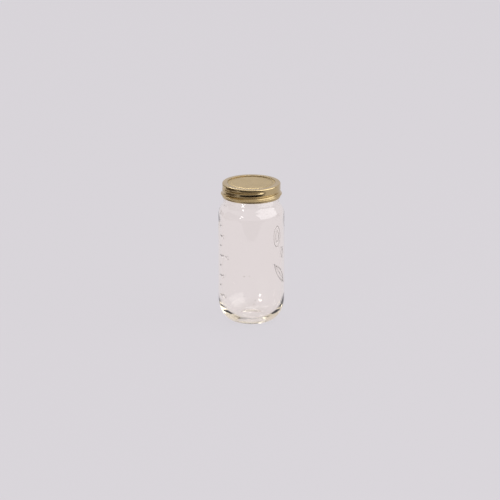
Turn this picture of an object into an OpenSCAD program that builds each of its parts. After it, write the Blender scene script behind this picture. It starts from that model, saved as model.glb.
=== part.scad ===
// Glass preserving jar with a two-piece metal closure, used for sourdough starter.
// Millimetres. The jar stands on z = 0 with its axis on Z. The front is -Y.

/* [Jar] */
// Height of the glass from the foot to the rim
jar_h = 176.6; // [150:0.1:210]
// Outside diameter of the straight side wall
body_d = 82; // [76:0.5:100]
// Thickness of the side wall
wall_t = 2.6; // [1.8:0.1:3.4]
// Radius of the rounded shoulder
shoulder_r = 16; // [12:0.5:20]
// Radius of the hollow curve between the shoulder and the neck
shoulder_hollow_r = 8; // [5:0.5:12]
// Height of the neck that shows under the band
neck_show = 6.3; // [4:0.1:14]

/* [Base] */
// How far the rounded heel draws in from the side wall
heel_in = 21; // [12:0.5:22]
// Height of the rounded heel
heel_h = 30; // [12:0.5:40]
// Width of the flat ring that the jar stands on
foot_w = 3.5; // [2:0.25:6]
// Height of the pushed-up middle of the base
push_up = 3; // [1:0.25:4]
// Height of the floor inside the jar
floor_z = 6.5; // [5.5:0.25:10]
// How much higher the floor is in the middle
floor_crown = 1.5; // [0.5:0.25:3]
// How much less the heel draws in on the inside
heel_tighter_in = 1.5; // [0:0.25:4]
// How much lower the heel is on the inside
heel_tighter_h = 5; // [0:0.25:8]

/* [Mouth] */
// Diameter of the mouth
mouth_d = 60; // [54:0.5:66]
// Thickness of the threaded wall round the mouth
finish_t = 3.3; // [2.8:0.1:4]
// How much narrower in radius the neck is than the crest of the thread
neck_inset = 0.2; // [0:0.05:1]
// Height of the plain wall between the thread's lower end and the neck
finish_land = 1.5; // [0.8:0.1:2]
// Radius of the rounded edges of the rim
rim_r = 0.8; // [0.4:0.1:1]

/* [Screw thread] */
// Rise of the thread in one turn
thread_pitch = 6.35; // [6:0.05:6.6]
// Turns of thread on the glass
thread_turns = 1.25; // [1:0.05:1.3]
// Depth below the rim of the middle of the glass thread at its upper end
thread_drop = 3.2; // [3:0.1:3.4]
// Height of the glass thread where it leaves the wall
thread_w = 2.4; // [2:0.1:2.6]
// How far the glass thread stands out of the wall
thread_out = 1.7; // [1.4:0.05:2]
// How far the band's thread reaches in under the glass thread
thread_grip = 0.7; // [0.4:0.05:0.9]
// Turns of thread rolled into the band
band_turns = 1.1; // [0.9:0.05:1.1]
// Height of the thread rolled into the band
band_thread_w = 3.4; // [3:0.1:3.6]
// Gap between the lid's lower edge and the band's thread at its upper end
band_thread_land = 1.05; // [0.8:0.05:1.3]
// Direction in which the band's thread starts, from +X
band_thread_start = 300; // [0:5:360]

/* [Lid and band] */
// Thickness of the tinplate
sheet_t = 0.3; // [0.2:0.05:0.4]
// Width of the flat rim round the opening in the top of the band
flange_w = 6.3; // [5:0.1:8]
// Radius of the band's top edge
band_edge_r = 1.3; // [0.8:0.1:1.8]
// How far the bead stands out of the skirt
bead_out = 1.7; // [1:0.1:2.2]
// Height of the bead
bead_w = 3.2; // [2.4:0.1:3.6]
// Gap between the band's thread at its lower end and the bead
bead_land = 0.1; // [0.05:0.05:0.5]
// Height of the plain skirt under the bead
lip_h = 2.05; // [1.6:0.05:3]
// Height of the hem inside the lower edge of the band
hem_h = 1.1; // [0.8:0.1:1.4]
// Thickness of the sealing ring
ring_t = 0.7; // [0.5:0.05:1]
// How far outside the mouth the inner wall of the sealing ring's channel stands
channel_lap = 0.6; // [0.4:0.1:0.9]
// Depth of the step inside the channel
lid_step = 0.5; // [0.3:0.05:0.6]
// Rise of the middle panel of the lid
panel_rise = 0.3; // [0.1:0.05:0.4]
// Width of the low flat between the channel and the middle panel
panel_inset = 3.1; // [2:0.1:8]
// Width of the sloping steps in the lid
step_w = 0.6; // [0.4:0.1:1]

/* [Measuring marks] */
// Volume between two long marks, in millilitres
mark_ml = 118.3; // [80:0.1:150]
// Height of the lowest mark above the heel
mark_lift = 7; // [2:0.5:30]
// Height of the line of a mark
mark_w = 1.2; // [0.8:0.1:2]
// How far a mark stands out of the glass
mark_out = 0.5; // [0.3:0.1:1]
// Angle round the jar that a long mark takes
mark_turn = 9; // [4:0.5:9]
// Direction of the middle of the marks, from +X
mark_at = 204; // [200:1:240]

/* [Clearances] */
// Gap between the rim and the sealing ring
seat_gap = 0.05; // [0.02:0.01:0.1]
// Gap between the lid and the top of the band
flange_gap = 0.05; // [0.02:0.01:0.1]
// Gap between the sides of the sealing ring and its channel
ring_gap = 0.05; // [0.02:0.01:0.1]
// Gap between the crest of the glass thread and the skirt of the band
skirt_gap = 1; // [0.8:0.05:1.4]
// Gap between the flanks of the two threads
flank_gap = 0.3; // [0.25:0.05:0.4]
// Gap between the lid's edge and the thread in the band
lid_gap = 0.3; // [0.2:0.05:0.4]
// Gap between the band's hem and the neck and thread
hem_gap = 0.35; // [0.3:0.05:0.4]

/* [Hidden] */

body_r = body_d / 2;
inner_r = body_r - wall_t;
mouth_r = mouth_d / 2;
finish_r = mouth_r + finish_t;
crest_r = finish_r + thread_out;
neck_r = crest_r - neck_inset;
foot_r = body_r - heel_in;
inner_heel_in = heel_in - heel_tighter_in;
inner_heel_h = heel_h - heel_tighter_h;
$fn = 144;

// Facets of a full turn of thread, and the share of a turn over which a thread fades out
thread_steps = 72;
fade = 0.07;
// How far a thread's root is sunk into the glass
root_sink = 0.3;
// How far a thread's fading surface stays from the surface that it fades into
fade_gap = 0.1;
// How far a cut runs past a surface
cut_past = 0.6;

// The closure is stacked on the rim: ring, lid, band. The band's thread starts under the lid's edge,
// the bead lies under the thread, and the skirt ends under the bead.
ring_z = jar_h + seat_gap;
channel_z = ring_z + ring_t;
lid_z = channel_z + sheet_t;
top_z = lid_z + flange_gap + sheet_t;
band_thread_z = ring_z - band_thread_land - band_thread_w / 2;
band_thread_end_z = band_thread_z - (band_turns - fade) * thread_pitch - band_thread_w / 2;
bead_z = band_thread_end_z - bead_land - bead_w / 2;
band_z = bead_z - bead_w / 2 - lip_h;
thread_z = jar_h - thread_drop;
finish_z = thread_z - thread_turns * thread_pitch - thread_w / 2 - finish_land;
neck_z = band_z - neck_show;

// The shoulder is an arc that runs into the side wall, and the hollow under the neck is one that runs
// into the neck. They touch where both have the same slope.
blend_r = shoulder_r + shoulder_hollow_r;
blend_angle = acos(1 - (body_r - neck_r) / blend_r);
shoulder_c = [body_r - shoulder_r, neck_z - blend_r * sin(blend_angle)];
hollow_c = [neck_r + shoulder_hollow_r, neck_z];

// From the glass outwards: the band's thread hooks under the crest of the glass thread, the lid drops
// in past the band's thread, and the hem and the skirt clear the crest.
band_thread_r = crest_r - thread_grip;
lid_r = band_thread_r - lid_gap;
channel_out_r = lid_r - sheet_t;
channel_in_r = mouth_r + channel_lap;
hem_r = max(neck_r, crest_r) + hem_gap;
skirt_in_r = crest_r + skirt_gap;
skirt_r = skirt_in_r + sheet_t;

// Both threads follow one helix. thread_lag is how far the band's lies below the glass one, so that
// their flanks stay flank_gap apart halfway through their radial overlap.
grip_r = crest_r - thread_grip / 2;
thread_lag = flank_gap + half_height(finish_r, crest_r, thread_w, grip_r)
    + half_height(skirt_in_r, band_thread_r, band_thread_w, grip_r);
thread_start = band_thread_start - 360 * (band_thread_z + thread_lag - thread_z) / thread_pitch;

// Marks fill the straight wall, from above the heel to below the shoulder.
mark_step = mark_ml * 1000 / (PI * inner_r ^ 2) / 2;
mark_count = floor((shoulder_c[1] - mark_w - heel_h - mark_lift) / mark_step);

// Half of the height that a thread's hump has at the radius r
function half_height(root, tip, w, r) = w / 2 * acos(2 * (r - root) / (tip - root) - 1) / 180;

function arc(c, r, from, to, n) = [
    for (i = [0 : n])
        let (a = from + (to - from) * i / n)
            [c[0] + r * cos(a), c[1] + r * sin(a)]
];

function oval(c, rx, rz, from, to, n) = [
    for (i = [0 : n])
        let (a = from + (to - from) * i / n)
            [c[0] + rx * cos(a), c[1] + rz * sin(a)]
];

// A smooth mound of height h over the radius r, on the level z
function mound(r, z, h, n) = [
    for (i = [0 : n - 1])
        [r * i / n, z + h * (1 + cos(180 * i / n)) / 2]
];

function reversed(points) = [for (i = [len(points) - 1 : -1 : 0]) points[i]];

// Share of its full height that a thread has at t, from 0 at its upper end to 1 at its lower end
function fading(t, turns) =
    let (near = min(t, 1 - t) * turns / fade)
        near >= 1 ? 1 : (1 - cos(180 * near)) / 2;

// One ring of a thread: a smooth hump from the radius root to the radius tip, w high, closed at the
// radius back
function hump(root, tip, w, back, n) = concat(
    [for (i = [0 : n])
        let (v = -1 + 2 * i / n)
            [root + (tip - root) * (1 + cos(180 * v)) / 2, v * w / 2]],
    [[back, w / 2], [back, -w / 2]]
);

// A closed solid through rings of equal numbers of points. Each ring is [angle, height, profile].
module sweep(rings, inward) {
    count = len(rings[0][2]);
    last = len(rings) - 1;
    points = [
        for (ring = rings)
            for (p = ring[2])
                [p[0] * cos(ring[0]), p[0] * sin(ring[0]), p[1] + ring[1]]
    ];
    sides = [
        for (i = [0 : last - 1])
            for (j = [0 : count - 1])
                let (a = i * count + j, b = i * count + (j + 1) % count)
                    each [[a, b, b + count], [a, b + count, a + count]]
    ];
    apex = count - 1;
    start_cap = [for (j = [0 : count - 3]) [apex, j + 1, j]];
    end_cap = [for (j = [0 : count - 3]) [apex, j, j + 1] + [1, 1, 1] * last * count];
    faces = concat(sides, start_cap, end_cap);
    polyhedron(points, inward ? faces : [for (f = faces) reversed(f)]);
}

// A thread that winds down from the direction start and the height z. root is the radius that it
// fades into, tip the radius of its crest, and back the radius of its buried side.
module thread(start, z, turns, root, tip, back, w, profile_steps) {
    steps = ceil(turns * thread_steps);
    sweep([
        for (i = [0 : steps])
            let (t = i / steps, turn = t * turns, full = fading(t, turns))
                [start - 360 * turn, z - turn * thread_pitch,
                    hump(root, root + (tip - root) * full, w, back, profile_steps)]
    ], back > root);
}

module glass_jar() {
    outer = concat(
        mound(foot_r - foot_w, 0, push_up, 8),
        [[foot_r - foot_w, 0]],
        oval([foot_r, heel_h], heel_in, heel_h, -90, 0, 18),
        arc(shoulder_c, shoulder_r, 0, blend_angle, 8),
        reversed(arc(hollow_c, shoulder_hollow_r, 180, 180 + blend_angle, 8)),
        [[neck_r, finish_z - (neck_r - finish_r)]],
        [[finish_r, finish_z]],
        arc([finish_r - rim_r, jar_h - rim_r], rim_r, 0, 90, 4)
    );
    inner = concat(
        mound(inner_r - inner_heel_in, floor_z, floor_crown, 6),
        oval([inner_r - inner_heel_in, floor_z + inner_heel_h], inner_heel_in, inner_heel_h, -90, 0, 16),
        arc(shoulder_c, shoulder_r - wall_t, 0, blend_angle, 8),
        reversed(arc(hollow_c, shoulder_hollow_r + wall_t, 180, 180 + blend_angle, 8)),
        [[mouth_r, finish_z]],
        reversed(arc([mouth_r + rim_r, jar_h - rim_r], rim_r, 90, 180, 4))
    );
    color([0.86, 0.88, 0.87, 0.4]) {
        rotate_extrude()
            polygon(concat(outer, reversed(inner)));
        glass_thread();
        measuring_marks();
    }
}

module glass_thread() {
    thread(thread_start, thread_z, thread_turns, finish_r - fade_gap, crest_r,
        finish_r - fade_gap - root_sink, thread_w, 6);
}

// A long mark for each mark_ml, with a short mark between two long ones
module measuring_marks() {
    for (i = [0 : mark_count])
        mark(heel_h + mark_lift + i * mark_step, i % 2 == 0 ? mark_turn : mark_turn / 2);
}

module mark(z, turn) {
    rotate(mark_at - mark_turn / 2)
        rotate_extrude(angle = turn)
            polygon([
                [body_r - root_sink, z - mark_w / 2],
                [body_r, z - mark_w / 2],
                [body_r + mark_out, z - mark_w / 4],
                [body_r + mark_out, z + mark_w / 4],
                [body_r, z + mark_w / 2],
                [body_r - root_sink, z + mark_w / 2]
            ]);
}

module lid_disc() {
    step_r = channel_in_r - sheet_t;
    panel_r = step_r - step_w - panel_inset - step_w;
    panel_z = panel_rise - lid_step;
    color([0.76, 0.67, 0.50])
        translate([0, 0, lid_z])
            rotate_extrude()
                polygon([
                    [0, panel_z],
                    [panel_r, panel_z],
                    [panel_r + step_w, -lid_step],
                    [step_r - step_w, -lid_step],
                    [step_r, 0],
                    [lid_r - sheet_t / 2, 0],
                    [lid_r, -sheet_t / 2],
                    [lid_r, -sheet_t - ring_t],
                    [channel_out_r, -sheet_t - ring_t],
                    [channel_out_r, -sheet_t],
                    [channel_in_r, -sheet_t],
                    [channel_in_r - step_w, -sheet_t - lid_step],
                    [panel_r + step_w, -sheet_t - lid_step],
                    [panel_r, panel_z - sheet_t],
                    [0, panel_z - sheet_t]
                ]);
}

module sealing_ring() {
    chamfer = ring_t / 4;
    color([0.62, 0.30, 0.20])
        translate([0, 0, ring_z])
            rotate_extrude()
                polygon([
                    [channel_in_r + ring_gap + chamfer, 0],
                    [channel_out_r - ring_gap - chamfer, 0],
                    [channel_out_r - ring_gap, chamfer],
                    [channel_out_r - ring_gap, ring_t],
                    [channel_in_r + ring_gap, ring_t],
                    [channel_in_r + ring_gap, chamfer]
                ]);
}

// Outline of the band's sheet, from the opening down to the bead's lower edge, at the depth t in it
function band_outline(t) = concat(
    [[skirt_r - flange_w, top_z - t]],
    arc([skirt_r - band_edge_r, top_z - band_edge_r], band_edge_r - t, 90, 0, 5),
    [for (i = [0 : 10])
        let (v = -1 + i / 5)
            [skirt_r - t + bead_out * (1 + cos(180 * v)) / 2, bead_z - v * bead_w / 2]]
);

module screw_band() {
    color([0.83, 0.66, 0.32])
        difference() {
            union() {
                band_sheet();
                thread(band_thread_start, band_thread_z, band_turns, skirt_in_r + fade_gap,
                    band_thread_r, skirt_r - sheet_t / 6, band_thread_w, 8);
            }
            thread(band_thread_start, band_thread_z, band_turns, skirt_r + fade_gap,
                band_thread_r + sheet_t, skirt_r + cut_past, band_thread_w - sheet_t, 8);
        }
}

// The band before its thread is rolled in, with a hem turned in at its lower edge
module band_sheet() {
    rotate_extrude()
        polygon(concat(
            band_outline(0),
            [[skirt_r, band_z + sheet_t],
                [skirt_in_r, band_z],
                [hem_r + sheet_t, band_z],
                [hem_r, band_z + sheet_t],
                [hem_r, band_z + hem_h],
                [skirt_in_r, band_z + hem_h]],
            reversed(band_outline(sheet_t))
        ));
}

glass_jar();
lid_disc();
sealing_ring();
screw_band();
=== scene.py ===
import math
import random

import bmesh
import bpy
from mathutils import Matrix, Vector


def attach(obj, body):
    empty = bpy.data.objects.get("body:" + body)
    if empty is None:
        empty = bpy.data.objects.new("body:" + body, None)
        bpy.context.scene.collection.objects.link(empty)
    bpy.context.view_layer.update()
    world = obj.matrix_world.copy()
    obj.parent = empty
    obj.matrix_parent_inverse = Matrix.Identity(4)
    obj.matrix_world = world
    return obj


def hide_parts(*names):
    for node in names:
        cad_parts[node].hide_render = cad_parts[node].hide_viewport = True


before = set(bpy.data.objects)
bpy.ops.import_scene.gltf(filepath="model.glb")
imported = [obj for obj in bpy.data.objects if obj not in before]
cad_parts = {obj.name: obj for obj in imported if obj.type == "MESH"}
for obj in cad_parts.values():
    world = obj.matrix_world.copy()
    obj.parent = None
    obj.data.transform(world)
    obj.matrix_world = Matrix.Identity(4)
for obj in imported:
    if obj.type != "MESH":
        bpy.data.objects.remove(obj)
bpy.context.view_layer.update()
random.seed(7)
MM = 0.001
TAU = 2 * math.pi

# The glass, in millimetres as in the CAD part. A heel is (centre r, centre z, half r, half z).
PUSH_UP, FOOT_IN, FOOT_R = 3.0, 16.5, 20.0
FLOOR_Z, FLOOR_CROWN = 6.5, 1.5
HEEL = (20.0, 30.0, 21.0, 30.0)
INNER_HEEL = (18.9, 31.5, 19.5, 25.0)
BODY_R, INNER_R = 41.0, 38.4
SHOULDER, SHOULDER_R, SHOULDER_IN = (25.0, 137.911), 16.0, 13.4
HOLLOW, HOLLOW_R, HOLLOW_IN = (42.8, 154.01), 8.0, 10.6
BLEND = 42.1
NECK_R, FINISH_R, MOUTH_R = 34.8, 33.3, 30.0
NECK_TOP, FINISH_Z, RIM_Z, RIM_R = 161.26, 162.76, 176.6, 0.8

# Threads wind down clockwise from an angle in degrees, and fade in and out over part of a turn.
# The band's is 0.15 mm lower than the CAD part's, and 0.2 of a turn longer, to reach the streaks
# low at the front.
PITCH = 6.35
JAR_THREAD = {"turn": 205.352, "z": 173.4, "turns": 1.25, "high": 2.4, "out": 1.7}
BAND_THREAD = {"turn": 300.0, "z": 173.9, "turns": 1.3, "high": 3.25, "out": -1.7}
FADE = 0.07

# The band. The hem's lower corners are eased by an amount (across, up).
TOP_Z, BAND_BOTTOM, SKIRT_R, SHEET, EDGE_R = 178.0, 160.31, 36.3, 0.3, 1.3
BEAD_R, BEAD_Z, BEAD_H = 38.0, 163.96, 3.2
HEM_R, HEM_H, HEM_SLOPE = 35.35, 1.1, 0.2
HEM_OUTER_EASE, HEM_INNER_EASE = (0.1, 0.3), (0.2, 0.25)

# The lid. A drop is measured down from its top.
LID_Z, LID_R, LIP_DROP, LIP_FROM = 177.65, 34.0, 1.0, 80
PANEL_R, PANEL_DROP = 26.0, 0.2
FLAT_IN, FLAT_R, FLAT_DROP = 26.6, 29.7, 0.5
CHANNEL_R, UNDER_BEND_R, UNDER_BEND_DROP, BEND = 30.3, 30.2, 0.55, 0.1

# Steps round each turned piece, and rows up its finer parts
GLASS_STEPS, LID_STEPS, BAND_STEPS = 288, 240, 360
WALL_ROWS, INNER_ROWS, THREAD_ROWS, BEAD_ROWS, MOUND_RINGS = 90, 60, 60, 18, 12

# Waviness of the inside of the glass
WAVES, WAVE_OUT, WAVE_FADE, WAVE_FROM_R = 7, 0.035, 12, 20

# Raised marks, numbers and ornament on the wall: angles in degrees, heights in millimetres.
# The marks lie where the CAD part's do, and are 0.3 mm wider from top to bottom and stand 0.1 mm
# further out.
MARK_Z, MARK_STEP, MARKS = 37.0, 12.77, 8
MARK_FROM, LONG_MARK, SHORT_MARK, MARK_HIGH, MARK_OUT = 199.5, 9.0, 4.5, 1.5, 0.6
NUMERALS = [("half", "1/2", 0), ("one", "1", 2), ("one_and_half", "1 1/2", 4), ("two", "2", 6)]
NUMERAL_FROM, NUMERAL_TALL, NUMERAL_THICK, NUMERAL_OUT = 210.5, 5.6, 0.4, 0.25
LINE_WIDE, LINE_OUT, LINE_SIDES, LINE_END = 1.5, 0.5, 8, 0.25
BUBBLES = [(257.0, 67.4, 0.6), (266.5, 68.0, 0.5), (257.0, 41.6, 0.55),
           (277.0, 36.5, 0.55), (274.5, 31.6, 0.6)]
BUBBLE_RINGS, BUBBLE_SIDES, BUBBLE_DEPTH = 7, 10, 1.0
BUBBLE_WIDE, BUBBLE_TALL, BUBBLE_DEEP = 1.3, 0.8, 0.7

# Colours of the ground and of what lights or darkens the piece, in metres and watts
PALE = (0.708, 0.680, 0.716)
# Seen through the glass the ground is warmer and brighter: painted light in the glass
WARM_PAINTED_LIGHT = (0.775, 0.722, 0.738)
FLOOR_COLOUR = (0.55, 0.53, 0.555)
FLOOR_HALF, FLOOR_BELOW, SHADOW_KEPT = 30, 0.0002, 0.08
SKY, SKY_LIGHT = (1.0, 0.985, 0.99), 0.55
MIDDLE = (0, 0, 0.1)
# name, place, width, height, power, seen in reflections
LAMPS = [("softbox_right", (1.3, -0.47, 1.0), 2.4, 1.7, 22.0, True),
         ("strip_left", (-1.0, -1.3, 0.75), 0.35, 0.5, 5.0, False),
         ("back", (-0.4, 1.6, 1.9), 1.2, 0.5, 9.0, True)]
# name, place, what it faces, width, height, colour
CARDS = [("dark_front", (-0.25, -1.9, 0.004), (-0.25, -1.9, 1), 1.9, 3.0, (0.012, 0.008, 0.006)),
         ("dark_left_high", (-0.9, -0.3, 0.42), (0, 0, 0.17), 1.2, 0.6, (0.03, 0.02, 0.015)),
         ("brown_floor_left", (-1.35, -0.25, 0.005), (-1.35, -0.25, 1), 1.7, 1.1,
          (0.07, 0.045, 0.025)),
         ("dark_low_left", (-0.75, 0.55, 0.1), MIDDLE, 0.5, 0.3, (0.03, 0.03, 0.035)),
         ("brown_right", (1.3, 0.3, 0.15), MIDDLE, 0.5, 0.5, (0.1, 0.08, 0.07)),
         ("beige_left", (-1.3, 0.1, 0.25), MIDDLE, 0.5, 0.9, (0.5, 0.44, 0.32))]
AIM, CAM_FAR, CAM_TILT = (-0.0017, 0.0, 0.0899), 7.0, 16.9
LENS, SENSOR, CLIP_END = 404.0, 36.0, 200.0


def arc(centre, rx, rz, first, last, count):
    """Points in (r, z) along part of an ellipse, angles in degrees from +r."""
    points = []
    for i in range(count + 1):
        a = math.radians(first + (last - first) * i / count)
        points.append((centre[0] + rx * math.cos(a), centre[1] + rz * math.sin(a)))
    return points


def line(start, end, count):
    """Points from start to end, both in it."""
    return [(start[0] + (end[0] - start[0]) * i / count,
             start[1] + (end[1] - start[1]) * i / count) for i in range(count + 1)]


def without_repeats(points):
    """The points without neighbours that coincide."""
    nearest = 0.01
    kept = [points[0]]
    for point in points[1:]:
        if math.dist(point, kept[-1]) > nearest:
            kept.append(point)
    return kept


def smooth(x):
    """0 at 0 to 1 at 1, level at both ends."""
    x = min(1.0, max(0.0, x))
    return x * x * (3 - 2 * x)


def hump(x):
    """1 at 0 to 0 at 1, level at both ends."""
    return 0.5 * (1 + math.cos(math.pi * x))


def thread_depth(angle, z, thread):
    """How far a helical thread stands out at an angle in radians and a height."""
    out = 0.0
    turned = ((thread["turn"] - math.degrees(angle)) % 360) / 360
    for lap in range(2):
        share = turned + lap
        if share > thread["turns"]:
            continue
        fade = smooth(share / FADE) * smooth((thread["turns"] - share) / FADE)
        off = abs(z - (thread["z"] - share * PITCH)) / (thread["high"] / 2)
        if off < 1:
            out += thread["out"] * fade * hump(off)
    return out


def add(name, data):
    """A new object in the scene."""
    made = bpy.data.objects.new(name, data)
    bpy.context.scene.collection.objects.link(made)
    return made


def shape(name, vertices, faces):
    """A smooth mesh object with outward faces."""
    mesh = bpy.data.meshes.new(name)
    mesh.from_pydata(vertices, [], faces)
    mesh.validate()
    work = bmesh.new()
    work.from_mesh(mesh)
    bmesh.ops.remove_doubles(work, verts=work.verts, dist=1e-7)
    wires = [edge for edge in work.edges if not edge.link_faces]
    bmesh.ops.delete(work, geom=wires, context="EDGES")
    bmesh.ops.recalc_face_normals(work, faces=work.faces)
    work.to_mesh(mesh)
    work.free()
    for face in mesh.polygons:
        face.use_smooth = True
    return add(name, mesh)


def spin(name, outline, steps, push=None):
    """A closed solid turned from an (r, z) outline; push moves the radius of a point."""
    vertices = []
    faces = []
    for step in range(steps):
        a = TAU * step / steps
        for index, (r, z) in enumerate(outline):
            moved = r + (push(a, index, r, z) if push else 0.0)
            vertices.append((moved * math.cos(a) * MM, moved * math.sin(a) * MM, z * MM))
    n = len(outline)
    for step in range(steps):
        here, there = step * n, ((step + 1) % steps) * n
        for index in range(n):
            nxt = (index + 1) % n
            faces.append((here + index, there + index, there + nxt, here + nxt))
    return shape(name, vertices, faces)


def flat(name, half_wide, half_high):
    """A flat rectangle."""
    w, h = half_wide, half_high
    mesh = bpy.data.meshes.new(name)
    mesh.from_pydata([(-w, -h, 0), (w, -h, 0), (w, h, 0), (-w, h, 0)], [], [(0, 1, 2, 3)])
    return add(name, mesh)


def turn_to(thing, aim):
    """Turns a lamp, card or camera to face a place."""
    way = Vector(aim) - Vector(thing.location)
    thing.rotation_euler = way.to_track_quat("-Z", "Y").to_euler()


class Material:
    """A Principled material and short calls that add nodes to it."""

    def __init__(self, name, **sockets):
        self.data = bpy.data.materials.new(name)
        self.data.use_nodes = True
        self.tree = self.data.node_tree
        self.bsdf = self.tree.nodes["Principled BSDF"]
        self.output = self.tree.nodes["Material Output"]
        for key, value in sockets.items():
            self.bsdf.inputs[key.replace("_", " ")].default_value = value

    def node(self, kind, **inputs):
        made = self.tree.nodes.new(kind)
        for key, value in inputs.items():
            made.inputs[key.replace("_", " ")].default_value = value
        return made

    def link(self, start, end):
        self.tree.links.new(start, end)

    def place(self, scale=(1, 1, 1)):
        """Object coordinates, stretched."""
        coords = self.node("ShaderNodeTexCoord")
        stretch = self.node("ShaderNodeMapping", Scale=scale)
        self.link(coords.outputs["Object"], stretch.inputs["Vector"])
        return stretch.outputs["Vector"]

    def noise(self, vector, scale, detail=3.0):
        made = self.node("ShaderNodeTexNoise", Scale=scale, Detail=detail)
        self.link(vector, made.inputs["Vector"])
        return made.outputs["Fac"]

    def colour(self, value, low, high):
        """The base colour, between two of (position, colour) by a value from 0 to 1."""
        made = self.node("ShaderNodeValToRGB")
        self.link(value, made.inputs["Fac"])
        for point, (position, shade) in zip(made.color_ramp.elements, (low, high)):
            point.position, point.color = position, (*shade, 1)
        self.link(made.outputs["Color"], self.bsdf.inputs["Base Color"])

    def roughness(self, value, low, high):
        """The roughness, between two by a value from 0 to 1."""
        made = self.node("ShaderNodeMapRange", To_Min=low, To_Max=high)
        self.link(value, made.inputs["Value"])
        self.link(made.outputs["Result"], self.bsdf.inputs["Roughness"])

    def bump(self, value, strength, distance):
        made = self.node("ShaderNodeBump", Strength=strength, Distance=distance)
        self.link(value, made.inputs["Height"])
        self.link(made.outputs["Normal"], self.bsdf.inputs["Normal"])


def glass_material():
    """Clear glass, faintly wavy, with a beige tint that shows where it is thick."""
    made = Material("clear_glass", Base_Color=(1.0, 0.99, 0.985, 1), IOR=1.5,
                    Transmission_Weight=1.0)
    made.roughness(made.noise(made.place(), scale=190.0, detail=2.0), 0.0, 0.035)
    ripples = made.noise(made.place((1, 1, 0.6)), scale=42.0, detail=1.5)
    made.bump(ripples, strength=0.06, distance=0.0012)
    tint = made.node("ShaderNodeVolumeAbsorption", Density=10.0, Color=(0.8, 0.72, 0.45, 1))
    made.link(tint.outputs["Volume"], made.output.inputs["Volume"])
    return made.data


def lacquer(name, low, high, metallic, rough, stretch, grain):
    """Lacquered tinplate: mottled colour, satin or gloss, and fine scratches."""
    made = Material(name, Metallic=metallic)
    made.colour(made.noise(made.place(), scale=55.0, detail=4.0), low, high)
    made.roughness(made.noise(made.place(), scale=160.0), *rough)
    scratches = made.noise(made.place(stretch), scale=grain, detail=4.0)
    made.bump(scratches, strength=0.12, distance=0.0002)
    return made.data


def rubber_material():
    """Matt red-brown sealing compound."""
    made = Material("sealing_compound", Roughness=0.6)
    made.colour(made.noise(made.place(), scale=120.0),
                (0.3, (0.3, 0.07, 0.035)), (0.7, (0.42, 0.11, 0.06)))
    made.bump(made.noise(made.place(), scale=900.0), strength=0.2, distance=0.0002)
    return made.data


def glass_outside():
    """The outside of the glass in section, from the foot's middle up and over the rim."""
    rings = [FOOT_IN * i / MOUND_RINGS for i in range(1, MOUND_RINGS + 1)]
    points = [(0, PUSH_UP)] + [(r, PUSH_UP * hump(r / FOOT_IN)) for r in rings]
    points += line((FOOT_IN, 0), (FOOT_R, 0), 3)
    points += arc(HEEL[:2], HEEL[2], HEEL[3], -90, 0, 34)
    points += line((BODY_R, HEEL[1]), (BODY_R, SHOULDER[1]), WALL_ROWS)
    points += arc(SHOULDER, SHOULDER_R, SHOULDER_R, 0, BLEND, 18)
    points += arc(HOLLOW, HOLLOW_R, HOLLOW_R, 180 + BLEND, 180, 12)
    points += line((NECK_R, HOLLOW[1]), (NECK_R, NECK_TOP), 6)
    points += line((NECK_R, NECK_TOP), (FINISH_R, FINISH_Z), 3)
    points += line((FINISH_R, FINISH_Z), (FINISH_R, RIM_Z - RIM_R), THREAD_ROWS)
    points += arc((FINISH_R - RIM_R, RIM_Z - RIM_R), RIM_R, RIM_R, 0, 90, 5)
    points += arc((MOUTH_R + RIM_R, RIM_Z - RIM_R), RIM_R, RIM_R, 90, 180, 5)
    return without_repeats(points)


def glass_inside():
    """The inside of the glass in section, from the rim down to the floor's middle."""
    points = line((MOUTH_R, RIM_Z - RIM_R), (MOUTH_R, FINISH_Z), 10)
    points += line((MOUTH_R, FINISH_Z), (HOLLOW[0] - HOLLOW_IN, HOLLOW[1]), 6)
    points += arc(HOLLOW, HOLLOW_IN, HOLLOW_IN, 180, 180 + BLEND, 12)
    points += arc(SHOULDER, SHOULDER_IN, SHOULDER_IN, BLEND, 0, 14)
    points += line((INNER_R, SHOULDER[1]), (INNER_R, INNER_HEEL[1]), INNER_ROWS)
    points += arc(INNER_HEEL[:2], INNER_HEEL[2], INNER_HEEL[3], 0, -90, 24)
    rings = [INNER_HEEL[0] * i / MOUND_RINGS for i in range(MOUND_RINGS - 1, -1, -1)]
    points += [(r, FLOOR_Z + FLOOR_CROWN * hump(r / INNER_HEEL[0])) for r in rings]
    return without_repeats(points)


def build_glass():
    """The jar, with its thread outside and a slight waviness inside."""
    outside, inside = glass_outside(), glass_inside()
    waves = [(random.uniform(0, TAU), random.randint(2, 7), random.uniform(0.03, 0.16))
             for _ in range(WAVES)]

    def push(angle, index, r, z):
        if index < len(outside):
            threaded = FINISH_Z < z < RIM_Z - RIM_R
            return thread_depth(angle, z, JAR_THREAD) if threaded else 0.0
        if r < WAVE_FROM_R or z > SHOULDER[1]:
            return 0.0
        fade = smooth((SHOULDER[1] - z) / WAVE_FADE) * smooth((r - WAVE_FROM_R) / WAVE_FADE)
        return -fade * sum(WAVE_OUT * (1 + math.sin(turn * angle + first + slope * z))
                           for first, turn, slope in waves)

    return spin("jar_glass_body", outside + inside, GLASS_STEPS, push)


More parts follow.
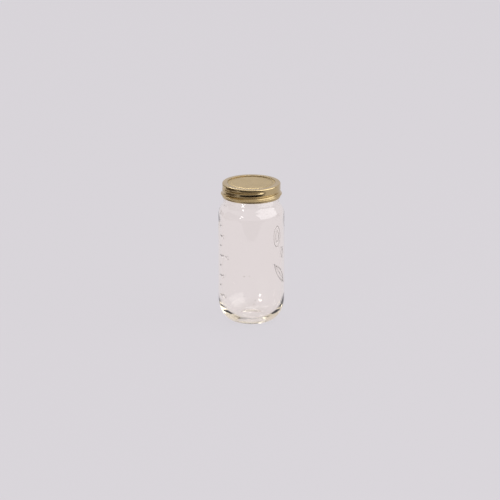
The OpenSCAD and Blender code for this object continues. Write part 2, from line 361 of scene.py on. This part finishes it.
def band_outline():
    """The band in section, outside from the opening down, and back up inside."""
    edge_r, edge_z, inside = SKIRT_R - EDGE_R, TOP_Z - EDGE_R, SKIRT_R - SHEET
    bead_top, bead_foot = BEAD_Z + BEAD_H / 2, BEAD_Z - BEAD_H / 2
    points = line((MOUTH_R, TOP_Z), (edge_r, TOP_Z), 6)
    points += arc((edge_r, edge_z), EDGE_R, EDGE_R, 90, 0, 8)
    points += line((SKIRT_R, edge_z), (SKIRT_R, bead_top), THREAD_ROWS)
    points += line((SKIRT_R, bead_top), (SKIRT_R, bead_foot), BEAD_ROWS)
    points += line((SKIRT_R, bead_foot), (SKIRT_R, BAND_BOTTOM + HEM_OUTER_EASE[1]), 4)
    points += line((SKIRT_R - HEM_OUTER_EASE[0], BAND_BOTTOM),
                   (HEM_R + HEM_INNER_EASE[0], BAND_BOTTOM), 3)
    points += line((HEM_R, BAND_BOTTOM + HEM_INNER_EASE[1]), (HEM_R, BAND_BOTTOM + HEM_H), 2)
    points += line((inside, BAND_BOTTOM + HEM_H + HEM_SLOPE), (inside, bead_foot), 2)
    points += line((inside, bead_foot), (inside, bead_top), BEAD_ROWS)
    points += line((inside, bead_top), (inside, edge_z), THREAD_ROWS)
    points += arc((edge_r, edge_z), EDGE_R - SHEET, EDGE_R - SHEET, 0, 90, 6)
    points += line((edge_r, TOP_Z - SHEET), (MOUTH_R, TOP_Z - SHEET), 6)
    return without_repeats(points)


def build_band():
    """The screw band, with its rolled bead and helical thread groove."""
    margin = 0.05
    skirt_from = SKIRT_R - SHEET - margin

    def push(angle, index, r, z):
        if r < skirt_from or z > TOP_Z - EDGE_R:
            return 0.0
        off = abs(z - BEAD_Z) / (BEAD_H / 2)
        bead = (BEAD_R - SKIRT_R) * hump(off) if off < 1 else 0.0
        return bead + thread_depth(angle, z, BAND_THREAD)

    return spin("band_shell", band_outline(), BAND_STEPS, push)


def build_lid():
    """The flat lid: centre panel, low flat, and a channel with a lip for the ring."""
    lip, channel = LID_R - SHEET, CHANNEL_R + SHEET
    panel, low_flat = LID_Z - PANEL_DROP, LID_Z - FLAT_DROP
    points = [(0, panel)] + line((1, panel), (PANEL_R, panel), 18)
    points += line((FLAT_IN, low_flat), (FLAT_R, low_flat), 4)
    points += line((CHANNEL_R, LID_Z), (lip, LID_Z), 4)
    points += arc((lip, LID_Z - SHEET), SHEET, SHEET, LIP_FROM, 0, 3)
    points += [(LID_R, LID_Z - LIP_DROP), (lip, LID_Z - LIP_DROP), (lip, LID_Z - SHEET)]
    points += [(channel, LID_Z - SHEET), (channel, LID_Z - UNDER_BEND_DROP)]
    points += [(UNDER_BEND_R, low_flat - SHEET), (FLAT_IN + BEND, low_flat - SHEET)]
    points += [(PANEL_R + BEND, panel - SHEET), (0, panel - SHEET)]
    return spin("lid_plate", without_repeats(points), LID_STEPS)


def wrapped(angle, z, out):
    """A place on the straight wall, in metres: degrees, and millimetres up and out."""
    a = math.radians(angle)
    return ((BODY_R + out) * math.cos(a) * MM, (BODY_R + out) * math.sin(a) * MM, z * MM)


def build_mark(name, turn, z, wide):
    """A raised pad with rounded edges, closed by a back that is sunk in the wall."""
    across, up = 10, 6
    edge_share, sink, back = 0.3, 0.02, -0.12
    vertices = []
    faces = []
    for front in (True, False):
        for i in range(across + 1):
            for j in range(up + 1):
                u, v = 2 * i / across - 1, 2 * j / up - 1
                edge = max(abs(u), abs(v))
                lift = MARK_OUT * smooth((1 - edge) / edge_share) if front else back
                around = math.degrees(u * wide / 2 / BODY_R)
                vertices.append(wrapped(turn + around, z + v * MARK_HIGH / 2, lift - sink))
    n = (across + 1) * (up + 1)
    for i in range(across):
        for j in range(up):
            k = i * (up + 1) + j
            faces.append((k, k + up + 1, k + up + 2, k + 1))
            faces.append((n + k, n + k + 1, n + k + up + 2, n + k + up + 1))
    rim = list(range(up + 1))
    rim += [i * (up + 1) + up for i in range(1, across + 1)]
    rim += [across * (up + 1) + j for j in range(up - 1, -1, -1)]
    rim += [i * (up + 1) for i in range(across - 1, 0, -1)]
    for here, there in zip(rim, rim[1:] + rim[:1]):
        faces.append((here, there, n + there, n + here))
    return shape(name, vertices, faces)


def build_numeral(name, words, turn, z):
    """A raised plain number on the wall, its left edge at an angle in degrees."""
    below_middle = 0.35
    curve = bpy.data.curves.new(name, "FONT")
    curve.body, curve.size, curve.extrude = words, NUMERAL_TALL, NUMERAL_THICK
    written = add(name, curve)
    bpy.context.view_layer.update()
    mesh = bpy.data.meshes.new_from_object(written)
    bpy.data.objects.remove(written)
    for vertex in mesh.vertices:
        x, y, out = vertex.co
        vertex.co = wrapped(turn + math.degrees(x / BODY_R),
                            z + y - NUMERAL_TALL * below_middle, out + NUMERAL_OUT)
    return add(name, mesh)


def raised_line(name, path, closed):
    """A rounded raised line on the wall through (degrees, height) points."""
    vertices = []
    faces = []
    count = len(path)
    for i, (turn, z) in enumerate(path):
        before = path[(i - 1) % count] if closed or i else path[0]
        after = path[(i + 1) % count] if closed or i < count - 1 else path[-1]
        dx = math.radians(after[0] - before[0]) * BODY_R
        dz = after[1] - before[1]
        size = math.hypot(dx, dz)
        taper = LINE_END + (1 - LINE_END) * math.sin(math.pi * (i + 0.5) / count)
        thin = 1.0 if closed else taper
        for k in range(LINE_SIDES):
            a = TAU * k / LINE_SIDES
            side, lift = math.cos(a) * LINE_WIDE / 2 * thin, math.sin(a) * LINE_OUT
            vertices.append(wrapped(turn + math.degrees(-dz / size * side / BODY_R),
                                    z + dx / size * side, lift))
    for i in range(count if closed else count - 1):
        here, there = i * LINE_SIDES, ((i + 1) % count) * LINE_SIDES
        for k in range(LINE_SIDES):
            nxt = (k + 1) % LINE_SIDES
            faces.append((here + k, there + k, there + nxt, here + nxt))
    if not closed:
        faces.append(tuple(range(LINE_SIDES)))
        faces.append(tuple((count - 1) * LINE_SIDES + k for k in range(LINE_SIDES)))
    return shape(name, vertices, faces)


def build_bubbles(name, places):
    """Small air bubbles in the wall: ellipsoids whose faces look inward."""
    vertices = []
    faces = []
    for turn, z, size in places:
        first = len(vertices)
        for i in range(BUBBLE_RINGS):
            a = math.pi * (i + 0.5) / BUBBLE_RINGS
            for j in range(BUBBLE_SIDES):
                b = TAU * j / BUBBLE_SIDES
                wide = size * math.sin(a) * math.cos(b) * BUBBLE_WIDE
                deep = size * BUBBLE_DEEP * math.sin(a) * math.sin(b)
                vertices.append(wrapped(turn + math.degrees(wide / BODY_R),
                                        z + size * BUBBLE_TALL * math.cos(a),
                                        deep - BUBBLE_DEPTH))
        for i in range(BUBBLE_RINGS - 1):
            here, there = first + i * BUBBLE_SIDES, first + (i + 1) * BUBBLE_SIDES
            for j in range(BUBBLE_SIDES):
                nxt = (j + 1) % BUBBLE_SIDES
                faces.append((here + j, there + j, there + nxt, here + nxt))
        last = first + (BUBBLE_RINGS - 1) * BUBBLE_SIDES
        faces.append(tuple(first + j for j in range(BUBBLE_SIDES)))
        faces.append(tuple(last + j for j in range(BUBBLE_SIDES)))
    made = shape(name, vertices, faces)
    made.data.flip_normals()
    return made


def oval(turn, z, half_turn, half_high, count):
    """A closed oval loop, its half-width in degrees."""
    angles = [TAU * i / count for i in range(count)]
    return [(turn + half_turn * math.cos(a), z + half_high * math.sin(a)) for a in angles]


def leaf(turn, z, long, wide, lean, count):
    """A closed pointed loop whose length leans, in degrees from upright."""
    degree = math.radians(1) * BODY_R
    a = math.radians(lean)
    points = []
    for i in range(count):
        t = TAU * i / count
        along, across = long / 2 * math.cos(t), wide / 2 * math.sin(t) ** 3
        points.append((turn + (along * math.sin(a) + across * math.cos(a)) / degree,
                       z + along * math.cos(a) - across * math.sin(a)))
    return points


def set_up(piece, body, node, material):
    """Gives a piece its material and body, and hides the CAD node that it stands for."""
    piece.data.materials.clear()
    piece.data.materials.append(material)
    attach(piece, body)
    if node:
        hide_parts(node)


def paint(node, material):
    """Gives a CAD node that stays a better material."""
    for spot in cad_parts[node].material_slots:
        spot.material = material


def area(name, place, wide, high, watts, glossy):
    """A soft lamp that the camera doesn't see."""
    data = bpy.data.lights.new(name, "AREA")
    data.shape, data.size, data.size_y, data.energy = "RECTANGLE", wide, high, watts
    lamp = add(name, data)
    lamp.location = place
    lamp.visible_camera = False
    lamp.visible_glossy = glossy
    turn_to(lamp, MIDDLE)


def card(name, place, aim, wide, high, shade):
    """A flat card that only reflections see."""
    made = flat(name, wide / 2, high / 2)
    made.location = place
    turn_to(made, aim)
    material = Material(name, Base_Color=(*shade, 1), Roughness=1.0, Specular_IOR_Level=0.0)
    made.data.materials.append(material.data)
    made.visible_camera = False
    made.visible_diffuse = False
    made.visible_shadow = False
    made.visible_transmission = False


def pale_or_painted_light(tree):
    """The ground's colour, with warmer, brighter painted light seen through the glass."""
    path = tree.nodes.new("ShaderNodeLightPath")
    mix = tree.nodes.new("ShaderNodeMix")
    mix.data_type = "RGBA"
    plain, through = [spot for spot in mix.inputs if spot.type == "RGBA"]
    plain.default_value = (*PALE, 1)
    through.default_value = (*WARM_PAINTED_LIGHT, 1)
    tree.links.new(path.outputs["Is Transmission Ray"], mix.inputs[0])
    return [spot for spot in mix.outputs if spot.type == "RGBA"][0]


def larger(tree, first, second):
    """The larger of two values."""
    made = tree.nodes.new("ShaderNodeMath")
    made.operation = "MAXIMUM"
    tree.links.new(first, made.inputs[0])
    tree.links.new(second, made.inputs[1])
    return made.outputs[0]


def choose_seen(tree, seen, other, out):
    """Shows one shader to camera, transmission and glossy rays, and the other to the rest."""
    rays = tree.nodes.new("ShaderNodeLightPath").outputs
    either = larger(tree, rays["Is Camera Ray"], rays["Is Transmission Ray"])
    mix = tree.nodes.new("ShaderNodeMixShader")
    tree.links.new(larger(tree, either, rays["Is Glossy Ray"]), mix.inputs[0])
    tree.links.new(other, mix.inputs[1])
    tree.links.new(seen, mix.inputs[2])
    tree.links.new(mix.outputs[0], out)


def backdrop():
    """The world: the photograph's pale grey where it is seen, and soft light on the rest."""
    world = bpy.data.worlds.new("studio")
    bpy.context.scene.world = world
    world.use_nodes = True
    tree = world.node_tree
    tree.nodes.clear()
    out = tree.nodes.new("ShaderNodeOutputWorld")
    seen = tree.nodes.new("ShaderNodeBackground")
    light = tree.nodes.new("ShaderNodeBackground")
    # Through the glass the world shows warmer, brighter painted light
    tree.links.new(pale_or_painted_light(tree), seen.inputs["Color"])
    light.inputs["Color"].default_value = (*SKY, 1)
    light.inputs["Strength"].default_value = SKY_LIGHT
    choose_seen(tree, seen.outputs[0], light.outputs[0], out.inputs["Surface"])


def ground():
    """A plain pale floor of the ground's own colour, with a share of the shadow kept."""
    made = flat("floor", FLOOR_HALF, FLOOR_HALF)
    made.location.z = -FLOOR_BELOW
    material = Material("floor", Base_Color=(*FLOOR_COLOUR, 1), Roughness=1.0,
                        Specular_IOR_Level=0.0)
    glow = material.node("ShaderNodeEmission")
    # Through the glass the floor's glow is warmer, brighter painted light
    material.link(pale_or_painted_light(material.tree), glow.inputs["Color"])
    blend = material.node("ShaderNodeMixShader", Fac=SHADOW_KEPT)
    material.link(glow.outputs[0], blend.inputs[1])
    material.link(material.bsdf.outputs[0], blend.inputs[2])
    choose_seen(material.tree, blend.outputs[0], material.bsdf.outputs[0],
                material.output.inputs["Surface"])
    made.data.materials.append(material.data)


def build_camera():
    """The camera, far off with a long lens as in the photograph."""
    lens = bpy.data.cameras.new("camera")
    lens.lens, lens.sensor_width, lens.clip_end = LENS, SENSOR, CLIP_END
    made = add("camera", lens)
    tilt = math.radians(CAM_TILT)
    made.location = (AIM[0], AIM[1] - CAM_FAR * math.cos(tilt), AIM[2] + CAM_FAR * math.sin(tilt))
    turn_to(made, AIM)
    return made


glass = glass_material()
satin_gold = lacquer("satin_gold_tinplate",
                     (0.3, (0.45, 0.345, 0.165)), (0.7, (0.52, 0.40, 0.20)),
                     metallic=0.9, rough=(0.3, 0.42), stretch=(1, 1, 1), grain=900.0)
bright_gold = lacquer("bright_gold_tinplate",
                      (0.3, (0.53, 0.41, 0.215)), (0.7, (0.62, 0.49, 0.27)),
                      metallic=1.0, rough=(0.1, 0.2), stretch=(1, 1, 9), grain=130.0)

set_up(build_glass(), "jar", "glass_jar", glass)
set_up(build_lid(), "lid", "lid_disc", satin_gold)
set_up(build_band(), "band", "screw_band", bright_gold)
paint("sealing_ring", rubber_material())

for number in range(MARKS):
    degrees = SHORT_MARK if number % 2 else LONG_MARK
    mark = build_mark("measuring_mark_%d" % (number + 1), MARK_FROM + degrees / 2,
                      MARK_Z + number * MARK_STEP, math.radians(degrees) * BODY_R)
    set_up(mark, "jar", None, glass)

for label, words, number in NUMERALS:
    figure = build_numeral("numeral_" + label, words, NUMERAL_FROM, MARK_Z + number * MARK_STEP)
    set_up(figure, "jar", None, glass)

ORNAMENT = [("ornament_loop", oval(322, 115, 8.5, 13, 40), True),
            ("ornament_small_loop", oval(322, 115, 4.0, 7, 28), True),
            ("ornament_leaf", leaf(330, 66, long=36, wide=9, lean=140.5, count=40), True),
            ("ornament_small_leaf", leaf(338, 92, long=13, wide=6, lean=0, count=28), True),
            ("ornament_vein", line((318, 76.5), (340, 57.5), 24), False)]
for label, path, closed in ORNAMENT:
    set_up(raised_line(label, path, closed), "jar", None, glass)

set_up(build_bubbles("glass_seeds", BUBBLES), "jar", None, glass)

ground()
backdrop()
for lamp in LAMPS:
    area(*lamp)
for values in CARDS:
    card(*values)

bpy.context.scene.camera = build_camera()
bpy.context.scene.view_settings.view_transform = "Standard"
# Light is caught in the thick glass heel for more bounces than the default allows
bpy.context.scene.cycles.max_bounces = 24
bpy.context.scene.cycles.glossy_bounces = 16
bpy.context.scene.cycles.transmission_bounces = 24
